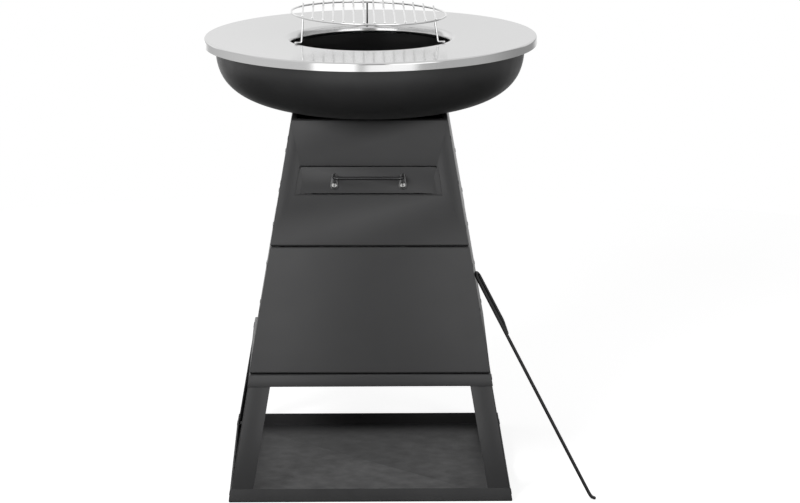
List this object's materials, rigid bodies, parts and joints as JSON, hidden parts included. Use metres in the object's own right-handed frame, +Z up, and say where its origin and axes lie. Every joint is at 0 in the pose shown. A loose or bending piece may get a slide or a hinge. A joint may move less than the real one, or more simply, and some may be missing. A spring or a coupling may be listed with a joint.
{
  "type": "charcoal grill",
  "caption": "Freestanding charcoal and wood grill: ring hot plate on a fire bowl, raised round grate, tapered square stand with ash drawer and open wood bay, and a poker.",
  "frame": {"origin": "the floor under the middle of the bowl, plate and tiers, on the base tray's underside", "axes": "+Z up, -Y out of the front with the ash drawer, +X to the side the poker leans on"},
  "size_m": [0.9351, 0.8, 1.1302],
  "materials": {
    "stand_paint": "satin dark grey powder coat",
    "drawer_paint": "satin dark grey powder coat",
    "bowl_paint": "matt dark heat-proof paint",
    "plate_steel": "satin stainless steel",
    "grate_wire": "bright wire",
    "poker_black": "matt black",
    "handle_black": "satin black",
    "screw_zinc": "bright zinc",
    "bolt_zinc": "zinc",
    "bolt_black": "satin dark grey"
  },
  "bodies": {
    "stand": {"base_tray": "stand_paint", "leg_front_left": "stand_paint", "leg_front_right": "stand_paint", "leg_rear_left": "stand_paint", "leg_rear_right": "stand_paint", "leg_bolts": "bolt_zinc", "leg_nuts": "bolt_zinc", "shelf_frame": "stand_paint", "middle_front_panel": "stand_paint", "middle_right_panel": "stand_paint", "middle_rear_panel": "stand_paint", "middle_left_panel": "stand_paint", "middle_corner_angles": "stand_paint", "upper_front_panel": "stand_paint", "upper_right_panel": "stand_paint", "upper_rear_panel": "stand_paint", "upper_left_panel": "stand_paint", "upper_corner_angles": "stand_paint", "panel_screws": "bolt_black", "panel_nuts": "bolt_zinc", "drawer_runner_left": "stand_paint", "drawer_runner_right": "stand_paint"},
    "drawer": {"ash_drawer": "drawer_paint", "drawer_front": "stand_paint", "drawer_handle": "handle_black", "handle_screws": "screw_zinc", "handle_nuts": "bolt_zinc"},
    "bowl": {"fire_bowl": "bowl_paint"},
    "plate": {"hot_plate": "plate_steel"},
    "grate": {"grate_ring": "grate_wire", "grate_bars": "grate_wire", "grate_leg_rear": "grate_wire", "grate_leg_left": "grate_wire", "grate_leg_right": "grate_wire"},
    "poker": {"poker": "poker_black"}
  },
  "joints": [
    {"name": "drawer_slide", "type": "slide", "parent": "stand", "child": "drawer", "axis": [-0.0079, -1, 0], "range_m": [0, 0.24]},
    {"name": "bowl_lift", "type": "slide", "parent": "stand", "child": "bowl", "axis": [0, 0, 1], "range_m": [0, 0.3]},
    {"name": "plate_lift", "type": "slide", "parent": "bowl", "child": "plate", "axis": [0, 0, 1], "range_m": [0, 0.25]},
    {"name": "grate_lift", "type": "slide", "parent": "plate", "child": "grate", "axis": [0, 0, 1], "range_m": [0, 0.2]},
    {"name": "poker_slide", "type": "slide", "parent": "stand", "child": "poker", "axis": [0.7071, 0, 0.7071], "range_m": [0, 0.3]}
  ]
}
